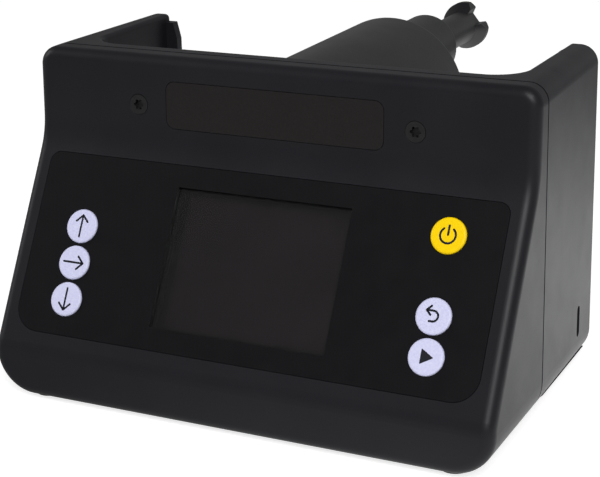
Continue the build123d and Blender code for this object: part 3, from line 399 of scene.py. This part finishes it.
@dataclass(frozen=True)
class DarkDisplay:
    """Switched-off display: a dark warm grey with faint dust."""

    name: str
    tone: Tone
    light_tone: Tone
    dust_tone: Tone
    dust_spacing: float = 5.0
    dust_size: float = 0.035

    def build(self) -> bpy.types.Material:
        """Make the material.

        Returns:
            The finished material.
        """
        sheet = ShaderSheet(self.name)
        cloud = sheet.remap(sheet.noise(30.0, 2.0), 0.0, 1.0)
        glow = sheet.blend(cloud, linear(self.tone), linear(self.light_tone))
        cells = sheet.add(
            "ShaderNodeTexVoronoi", Vector=sheet.place(), Scale=1.0 / (self.dust_spacing * MM)
        )
        edge = (self.dust_size, self.dust_size * 0.5)
        speck = sheet.fall(cells.outputs["Distance"], edge, (0.0, 1.0))
        colour = sheet.blend(speck, glow, linear(self.dust_tone))
        sheet.join(colour, sheet.shader.inputs["Base Color"])
        rough = sheet.remap(sheet.noise(3.0, 2.0), 0.5, 0.6)
        sheet.join(rough, sheet.shader.inputs["Roughness"])
        sheet.shine(Specular_IOR_Level=0.15)
        return sheet.material


@dataclass(frozen=True)
class CircuitBoard:
    """Solder mask over faint copper tracks."""

    name: str
    tone: Tone
    light_tone: Tone

    def build(self) -> bpy.types.Material:
        """Make the material.

        Returns:
            The finished material.
        """
        sheet = ShaderSheet(self.name)
        cells = sheet.add(
            "ShaderNodeTexVoronoi",
            {"distance": "MANHATTAN", "feature": "DISTANCE_TO_EDGE"},
            Vector=sheet.place(),
            Scale=1.0 / (3.0 * MM),
        )
        track = sheet.fall(cells.outputs["Distance"], (0.05, 0.08), (0.0, 1.0))
        colour = sheet.blend(track, linear(self.light_tone), linear(self.tone))
        sheet.join(colour, sheet.shader.inputs["Base Color"])
        rough = sheet.remap(sheet.noise(4.0, 2.0), 0.25, 0.4)
        sheet.join(rough, sheet.shader.inputs["Roughness"])
        sheet.join(sheet.relief(track, -0.02), sheet.shader.inputs["Normal"])
        return sheet.material


CASING = Moulded("casing_satin_charcoal", (25, 25, 29), (29, 29, 33), 0.42)
TUBE = Moulded("tube_satin_black", (22, 22, 25), (26, 26, 29), 0.36, specular=0.35)
COVER = Moulded("base_cover_black", (22, 22, 24), (27, 27, 29), 0.5)
INNER = Moulded("inner_black_moulding", (30, 30, 32), (38, 38, 40), 0.55)
CHIP = Moulded("chip_black_epoxy", (20, 20, 21), (30, 30, 31), 0.5, grain=0.1)
RUBBER = Moulded("foot_black_rubber", (22, 22, 22), (32, 31, 30), 0.8, grain=0.5, sheen=0.1)
SEAL = Moulded("seal_black_rubber", (24, 24, 24), (34, 34, 33), 0.75, grain=0.4)
RESIN = Moulded("gear_acetal", (226, 222, 208), (236, 233, 222), 0.4)
SLEEVE = Moulded("cell_blue_sleeve", (28, 70, 150), (36, 84, 170), 0.25)
LEADS = Moulded("lead_red_sleeve", (150, 24, 22), (170, 34, 28), 0.4)
OVERLAY = PrintedFilm("overlay_black_velvet_film", (12, 12, 14), (18, 18, 21), 0.5, specular=0.12)
PLATE = PrintedFilm("plate_bare_black_film", (28, 26, 26), (38, 35, 34), 0.42, 0.3)
PALE_KEY = PrintedFilm("key_pale_lavender_film", (203, 204, 236), (224, 225, 246), 0.45, 0.3, 0.02)
YELLOW_KEY = PrintedFilm("key_yellow_film", (250, 208, 0), (255, 220, 6), 0.4, 0.3, 0.012)
INK = PrintedFilm("key_dark_ink", (24, 27, 34), (32, 35, 42), 0.5)
MASK = PrintedFilm("display_mask_ink", (14, 13, 14), (18, 17, 18), 0.5, specular=0.12)
WINDOW = ClearSheet("window_clear_acrylic", (238, 236, 236))
DISPLAY = DarkDisplay("display_switched_off", (29, 25, 28), (32, 28, 31), (150, 146, 146))
BOARD = CircuitBoard("board_green_solder_mask", (12, 62, 32), (24, 92, 48))
SCREW = Metal("screw_zinc_plate", (168, 168, 170), (200, 200, 202), Axis.Z, 0.3)
BLACK_SCREW = Metal("screw_black_oxide", (24, 24, 25), (34, 33, 34), Axis.Z, 0.42, 0.3)
SHAFT = Metal("shaft_ground_steel", (170, 171, 174), (205, 206, 208), Axis.Y, 0.2)
CAN = Metal("can_plated_steel", (150, 151, 153), (180, 181, 183), Axis.Y, 0.32)
BRASS = Metal("brass_turned", (188, 150, 78), (214, 178, 100), Axis.Y, 0.26)
FERRITE = Metal("magnet_sintered_ferrite", (70, 70, 73), (92, 92, 95), Axis.Y, 0.6, 0.3)

NODE_FINISHES: dict[Any, tuple[str, ...]] = {
    CASING: ("front_shell", "rear_shell"),
    TUBE: ("motor_housing", "drive_coupler"),
    COVER: ("base_cover",),
    INNER: ("lcd_frame", "gearbox_case", "gearbox_cover", "motor_end_cap", "battery_tray"),
    CHIP: ("tact_switches", "board_components", "buzzer"),
    RUBBER: ("rubber_feet",),
    SEAL: ("housing_seal", "shaft_seal"),
    RESIN: ("idler_gear_first", "idler_gear_second", "output_gear"),
    SLEEVE: ("battery_cells",),
    LEADS: ("wire_harness",),
    OVERLAY: ("control_overlay",),
    PLATE: ("name_plate",),
    PALE_KEY: ("button_up", "button_right", "button_down", "button_back", "button_start"),
    YELLOW_KEY: ("button_power",),
    WINDOW: ("display_window",),
    DISPLAY: ("lcd_panel",),
    BOARD: ("control_board", "charger_board"),
    SCREW: ("base_cover_screws", "board_screws", "housing_screws", "motor_mount_screws"),
    BLACK_SCREW: ("front_screws",),
    SHAFT: ("output_shaft", "idler_pins", "coupler_pin", "motor_armature", "gearbox_screws"),
    CAN: ("motor_can", "charging_socket"),
    BRASS: ("motor_pinion", "output_bushing", "nose_bushing", "screw_inserts", "motor_terminals"),
    FERRITE: ("motor_magnets",),
}


@dataclass
class Wardrobe:
    """All finishes, each built once."""

    built: dict[str, bpy.types.Material] = field(default_factory=dict)

    def get(self, finish: Any) -> bpy.types.Material:
        """Give a finish's material, made on its first use.

        Args:
            finish: One of the finish dataclasses.

        Returns:
            The material.
        """
        if finish.name not in self.built:
            self.built[finish.name] = finish.build()
        return self.built[finish.name]

    def dress_nodes(self) -> None:
        """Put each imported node's finish in its material slots."""
        for finish, names in NODE_FINISHES.items():
            for name in names:
                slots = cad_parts[name].data.materials
                slots.clear()
                slots.append(self.get(finish))
                LOG.info("%s wears %s", name, finish.name)


class Workbench:
    """Turns finished bmeshes into pieces that ride on a body."""

    def __init__(self, wardrobe: Wardrobe) -> None:
        """Keep the finishes at hand.

        Args:
            wardrobe: The finishes.
        """
        self.wardrobe = wardrobe

    def piece(
        self,
        name: str,
        form: bmesh.types.BMesh,
        place: Matrix,
        finish: Any,
        body: str,
    ) -> None:
        """Put a form in place, give it its finish and let it ride.

        Args:
            name: The piece's name.
            form: Its shape, in millimetres in its own frame.
            place: Its own frame in the row frame, in metres.
            finish: The finish dataclass.
            body: The body that it rides on.
        """
        bmesh.ops.transform(form, matrix=place @ Matrix.Scale(MM, 4), verts=form.verts)
        bmesh.ops.recalc_face_normals(form, faces=form.faces)
        mesh = bpy.data.meshes.new(name)
        form.to_mesh(mesh)
        form.free()
        mesh.materials.append(self.wardrobe.get(finish))
        item = bpy.data.objects.new(name, mesh)
        bpy.context.scene.collection.objects.link(item)
        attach(item, body)
        LOG.info("made %s on %s", name, body)


def upright_edges(form: bmesh.types.BMesh, geometry: Iterable[Any]) -> list[Any]:
    """Edges of a form that run along its own z.

    Args:
        form: The form that the geometry belongs to.
        geometry: Vertices, edges and faces to look through.

    Returns:
        The upright edges.
    """
    verts = {item for item in geometry if isinstance(item, bmesh.types.BMVert)}
    found = []
    for edge in form.edges:
        if edge.verts[0] in verts and edge.verts[1] in verts:
            run = edge.verts[0].co - edge.verts[1].co
            if abs(run.z) > 0.99 * run.length:
                found.append(edge)
    return found


def round_edges(form: bmesh.types.BMesh, edges: list[Any], radius: float, steps: int) -> None:
    """Round some edges of a form.

    Args:
        form: The form.
        edges: The edges.
        radius: Their radius, in the form's own unit.
        steps: Segments of the rounding.
    """
    bmesh.ops.bevel(
        form,
        geom=edges,
        offset=radius,
        offset_type="OFFSET",
        segments=steps,
        profile=0.5,
        affect="EDGES",
        material=-1,
    )


@dataclass
class PanelFrame:
    """The sloping face's own frame: x across, y up the slope, z out of the face."""

    slope: float = math.radians(29.5)
    overlay: str = "control_overlay"

    def matrix(self) -> Matrix:
        """Find the frame from the overlay's box.

        Returns:
            The frame's matrix in the row frame, in metres.
        """
        low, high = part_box(self.overlay)
        sine, cosine = math.sin(self.slope), math.cos(self.slope)
        rise, run = high.z - low.z, high.y - low.y
        half = (rise * cosine - run * sine) / (2 * (cosine**2 - sine**2))
        origin = Vector((0.0, low.y + half * sine, high.z - half * cosine))
        columns = (Vector((1, 0, 0)), Vector((0, sine, cosine)), Vector((0, -cosine, sine)))
        turn = Matrix(columns).transposed().to_4x4()
        return Matrix.Translation(origin) @ turn

    def local_box(self, node: str) -> tuple[Vector, Vector]:
        """Give a node's corners in this frame.

        Args:
            node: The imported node's name.

        Returns:
            Lowest and highest corner, in millimetres.
        """
        inverse = self.matrix().inverted()
        points = [inverse @ v.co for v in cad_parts[node].data.vertices]
        low = Vector([min(p[i] for p in points) for i in range(3)]) / MM
        high = Vector([max(p[i] for p in points) for i in range(3)]) / MM
        return low, high


@dataclass
class KeyMarks:
    """Printed marks of the six keys, in millimetres."""

    stroke: float = 0.56
    height: float = 0.05
    sink: float = 0.03
    arrow_length: float = 6.0
    arrow_head: float = 1.75
    ring_radius: float = 2.05
    ring_gap: float = 38.0
    power_bar: tuple[float, float] = (0.15, 2.5)
    triangle_radius: float = 2.3
    triangle_shift: float = -0.15
    triangle_corner: float = 0.3
    end_share: float = 0.49
    dot_share: float = 0.98
    return_radius: float = 1.35
    return_reach: float = 1.85
    return_tail: float = 0.8
    return_head: float = 1.15
    steps: int = 32

    def bar(self, form: bmesh.types.BMesh, start: Vector, end: Vector) -> None:
        """Add a straight stroke with round ends.

        Args:
            form: The mark's form.
            start: Middle of its first end.
            end: Middle of its last end.
        """
        run = end - start
        turn = Matrix.Rotation(math.atan2(run.y, run.x), 4, "Z")
        size = Matrix.Diagonal((run.length + self.stroke, self.stroke, self.height, 1.0))
        place = Matrix.Translation((start + end) / 2) @ turn @ size
        made = bmesh.ops.create_cube(form, size=1.0, matrix=place)
        edges = upright_edges(form, made["verts"])
        round_edges(form, edges, self.stroke * self.end_share, 5)

    def arc(self, form: bmesh.types.BMesh, radius: float, first: float, last: float) -> None:
        """Add a curved stroke about the mark's middle.

        Args:
            form: The mark's form.
            radius: Radius of its middle line.
            first: Direction of its first end, in degrees.
            last: Direction of its last end, in degrees.
        """
        half, level = self.stroke / 2, self.height / 2
        corners = ((-half, -level), (half, -level), (half, level), (-half, level))
        turn = Matrix.Rotation(math.radians(first), 4, "Z")
        verts = [form.verts.new(turn @ Vector((radius + a, 0, b))) for a, b in corners]
        face = form.faces.new(verts)
        bmesh.ops.spin(
            form,
            geom=[face],
            cent=(0, 0, 0),
            axis=(0, 0, 1),
            angle=math.radians(last - first),
            steps=self.steps,
            use_duplicate=False,
        )

    def arrow(self, form: bmesh.types.BMesh, direction: float) -> None:
        """Add an arrow through the mark's middle.

        Args:
            form: The mark's form.
            direction: Where it points, in degrees from the right.
        """
        turn = Matrix.Rotation(math.radians(direction), 3, "Z")
        half, head = self.arrow_length / 2, self.arrow_head
        tip = Vector((half, 0, 0))
        for tail in ((-half, 0, 0), (half - head, head, 0), (half - head, -head, 0)):
            self.bar(form, turn @ Vector(tail), turn @ tip)

    def power(self, form: bmesh.types.BMesh) -> None:
        """Add a broken ring with a bar in its gap.

        Args:
            form: The mark's form.
        """
        self.arc(form, self.ring_radius, 90 + self.ring_gap, 450 - self.ring_gap)
        for end in (90 + self.ring_gap, 90 - self.ring_gap):
            angle = math.radians(end)
            spot = Vector((math.cos(angle), math.sin(angle), 0)) * self.ring_radius
            self.dot(form, spot)
        low, high = self.power_bar
        self.bar(form, Vector((0, low, 0)), Vector((0, high, 0)))

    def dot(self, form: bmesh.types.BMesh, spot: Vector) -> None:
        """Add the round end of a curved stroke.

        Args:
            form: The mark's form.
            spot: Its middle.
        """
        bmesh.ops.create_cone(
            form,
            cap_ends=True,
            segments=16,
            radius1=self.stroke / 2,
            radius2=self.stroke / 2,
            depth=self.height * self.dot_share,
            matrix=Matrix.Translation(spot),
        )

    def play(self, form: bmesh.types.BMesh) -> None:
        """Add a filled triangle that points right.

        Args:
            form: The mark's form.
        """
        shift = Matrix.Translation((self.triangle_shift, 0, 0))
        made = bmesh.ops.create_cone(
            form,
            cap_ends=True,
            segments=3,
            radius1=self.triangle_radius,
            radius2=self.triangle_radius,
            depth=self.height,
            matrix=shift @ Matrix.Rotation(math.radians(-90), 4, "Z"),
        )
        round_edges(form, upright_edges(form, made["verts"]), self.triangle_corner, 4)

    def go_back(self, form: bmesh.types.BMesh) -> None:
        """Add an arrow that turns back to the left.

        Args:
            form: The mark's form.
        """
        radius, head = self.return_radius, self.return_head
        tip = Vector((-self.return_reach, radius, 0))
        self.arc(form, radius, -90, 90)
        self.bar(form, tip, Vector((0, radius, 0)))
        self.bar(form, Vector((-self.return_tail, -radius, 0)), Vector((0, -radius, 0)))
        for side in (head, -head):
            self.bar(form, tip, tip + Vector((head, side, 0)))

    def build(self, bench: Workbench, panel: PanelFrame) -> None:
        """Make every key's mark and let it ride on its key.

        Args:
            bench: Where pieces are finished.
            panel: The sloping face's frame.
        """
        marks: dict[str, Callable[[bmesh.types.BMesh], None]] = {
            "up": lambda form: self.arrow(form, 90),
            "right": lambda form: self.arrow(form, 0),
            "down": lambda form: self.arrow(form, -90),
            "power": self.power,
            "back": self.go_back,
            "start": self.play,
        }
        for key, draw in marks.items():
            low, high = panel.local_box(f"button_{key}")
            form = bmesh.new()
            draw(form)
            level = high.z + self.height / 2 - self.sink
            middle = Vector(((low.x + high.x) / 2, (low.y + high.y) / 2, level)) * MM
            place = panel.matrix() @ Matrix.Translation(middle)
            bench.piece(f"mark_{key}", form, place, INK, f"button_{key}_body")


@dataclass
class DisplayMask:
    """Printed border on the display's face, in millimetres."""

    left: float = 2.2
    right: float = 1.4
    top: float = 1.3
    bottom: float = 0.8
    thickness: float = 0.03
    opening: tuple[float, float] = (50.96, 38.26)

    def build(self, bench: Workbench, panel: PanelFrame) -> None:
        """Make the border.

        Args:
            bench: Where pieces are finished.
            panel: The sloping face's frame.
        """
        _, high = panel.local_box("lcd_panel")
        half_width, half_height = self.opening[0] / 2, self.opening[1] / 2
        foot, head = self.bottom - half_height, half_height - self.top
        form = bmesh.new()
        sides = (
            (-half_width, self.left - half_width, -half_height, half_height),
            (half_width - self.right, half_width, -half_height, half_height),
            (self.left - half_width, half_width - self.right, head, half_height),
            (self.left - half_width, half_width - self.right, -half_height, foot),
        )
        for left, right, low, top in sides:
            size = Matrix.Diagonal((right - left, top - low, self.thickness, 1.0))
            middle = Matrix.Translation(((left + right) / 2, (low + top) / 2, 0.0))
            bmesh.ops.create_cube(form, size=1.0, matrix=middle @ size)
        level = (high.z + self.thickness) * MM
        place = panel.matrix() @ Matrix.Translation((0, 0, level))
        bench.piece("display_mask", form, place, MASK, "casing")


@dataclass
class Studio:
    """Camera, lights, floor and surroundings."""

    focal_pixels: float = 1654.689
    frame_width: int = 600
    frame_height: int = 477
    axis_pixel: tuple[float, float] = (297.786, 231.196)
    sensor: float = 36.0
    right: tuple[float, float, float] = (0.8986233, 0.4380084, -0.0249952)
    up: tuple[float, float, float] = (-0.1181677, 0.2965146, 0.9476895)
    back: tuple[float, float, float] = (0.4225074, -0.8486623, 0.3182134)
    place: tuple[float, float, float] = (0.1916124, -0.4288355, 0.1871945)
    floor_size: float = 6.0
    floor_white: float = 0.76
    room_light: tuple[float, float] = (0.08, 0.32)
    room_gloss: tuple[float, float] = (0.144, 0.48)
    room_glow: tuple[float, float, float] = (0.4, 0.9, -0.15)
    room_reach: float = 1.4
    lit_reach: float = 0.5
    pool_place: tuple[float, float, float] = (0.14, 0.06, 0.0)
    pool_reach: float = 0.26
    pool_strength: float = 1.6

    def camera(self) -> None:
        """Set the camera where the photograph was taken from."""
        data = bpy.data.cameras.new("photo_camera")
        data.sensor_width = self.sensor
        data.lens = self.focal_pixels * self.sensor / self.frame_width
        data.shift_x = (self.frame_width / 2 - self.axis_pixel[0]) / self.frame_width
        data.shift_y = (self.axis_pixel[1] - self.frame_height / 2) / self.frame_width
        data.clip_start = 0.01
        item = bpy.data.objects.new("photo_camera", data)
        turn = Matrix((self.right, self.up, self.back)).transposed().to_4x4()
        item.matrix_world = Matrix.Translation(self.place) @ turn
        bpy.context.scene.collection.objects.link(item)
        bpy.context.scene.camera = item

    def lamp(self, name: str, place: Sequence[float], size: float, power: float) -> None:
        """Hang a square soft lamp that faces the object.

        Args:
            name: The lamp's name.
            place: Where it hangs, in metres.
            size: Its side, in metres.
            power: Its power, in watts.
        """
        data = bpy.data.lights.new(name, "AREA")
        data.size = size
        data.energy = power
        item = bpy.data.objects.new(name, data)
        aim = Vector((0, 0, 0.05)) - Vector(place)
        turn = aim.to_track_quat("-Z", "Y").to_matrix().to_4x4()
        item.matrix_world = Matrix.Translation(place) @ turn
        bpy.context.scene.collection.objects.link(item)

    def lamps(self) -> None:
        """Hang the two lamps."""
        self.lamp("key_lamp", (0.8, -1.3, 1.3), 1.0, 34.0)
        self.lamp("fill_lamp", (-1.7, -0.4, 0.9), 1.0, 9.0)

    def surroundings(self) -> None:
        """Paint the world white for the camera, with a bright patch low behind the object."""
        world = bpy.data.worlds.new("studio_world")
        bpy.context.scene.world = world
        world.use_nodes = True
        sheet = NodeSheet(world.node_tree, "ShaderNodeOutputWorld")
        path = sheet.add("ShaderNodeLightPath")
        direction = sheet.add("ShaderNodeTexCoord")
        away = sheet.distance(direction.outputs["Generated"], self.room_glow)
        shades = []
        for levels in (self.room_light, self.room_gloss, (1.0, 1.0)):
            strength = sheet.fall(away, (self.room_reach, 0.0), levels)
            shade = sheet.add("ShaderNodeBackground", Color=(1, 1, 1, 1), Strength=strength)
            shades.append(shade.outputs["Background"])
        mirrored = sheet.add("ShaderNodeMath", {"operation": "MAXIMUM"})
        sheet.join(path.outputs["Is Glossy Ray"], mirrored.inputs[0])
        sheet.join(path.outputs["Is Transmission Ray"], mirrored.inputs[1])
        seen = sheet.pick(mirrored.outputs["Value"], shades[0], shades[1])
        seen = sheet.pick(path.outputs["Is Camera Ray"], seen, shades[2])
        sheet.join(seen, sheet.output.inputs["Surface"])

    def floor(self) -> None:
        """Lay a pale floor that keeps the shadow and throws a pool of light on the right wall."""
        sheet = ShaderSheet("floor_pale_paper")
        shade = sheet.remap(sheet.noise(400.0, 2.0), 0.97, 1.0)
        colour = sheet.blend(shade, linear((184, 184, 184)), linear((190, 190, 190)))
        sheet.join(colour, sheet.shader.inputs["Base Color"])
        sheet.shine(Roughness=0.9, Specular_IOR_Level=0.1)
        path = sheet.add("ShaderNodeLightPath")
        away = sheet.distance(sheet.place(), self.pool_place)
        far = sheet.fall(away, (self.lit_reach, self.floor_size / 2), (self.floor_white, 1.0))
        white = sheet.add("ShaderNodeEmission", Strength=far)
        pool = sheet.fall(away, (self.pool_reach, 0.0), (0.0, self.pool_strength))
        light = sheet.add("ShaderNodeEmission", Strength=pool)
        glow = sheet.pick(
            path.outputs["Is Camera Ray"], light.outputs["Emission"], white.outputs["Emission"]
        )
        total = sheet.add("ShaderNodeAddShader")
        sheet.join(sheet.shader.outputs["BSDF"], total.inputs[0])
        sheet.join(glow, total.inputs[1])
        sheet.join(total.outputs["Shader"], sheet.output.inputs["Surface"])
        form = bmesh.new()
        bmesh.ops.create_grid(form, x_segments=2, y_segments=2, size=self.floor_size / 2)
        mesh = bpy.data.meshes.new("studio_floor")
        form.to_mesh(mesh)
        form.free()
        mesh.materials.append(sheet.material)
        item = bpy.data.objects.new("studio_floor", mesh)
        bpy.context.scene.collection.objects.link(item)

    def build(self) -> None:
        """Set up the whole studio."""
        self.camera()
        self.lamps()
        self.surroundings()
        self.floor()
        bpy.context.scene.view_settings.view_transform = "Standard"


def main() -> None:
    """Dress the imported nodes, add the pieces and set up the studio."""
    logging.basicConfig(level=logging.INFO)
    Studio().build()
    wardrobe = Wardrobe()
    wardrobe.dress_nodes()
    bench = Workbench(wardrobe)
    panel = PanelFrame()
    KeyMarks().build(bench, panel)
    DisplayMask().build(bench, panel)


if __name__ == "__main__":
    main()
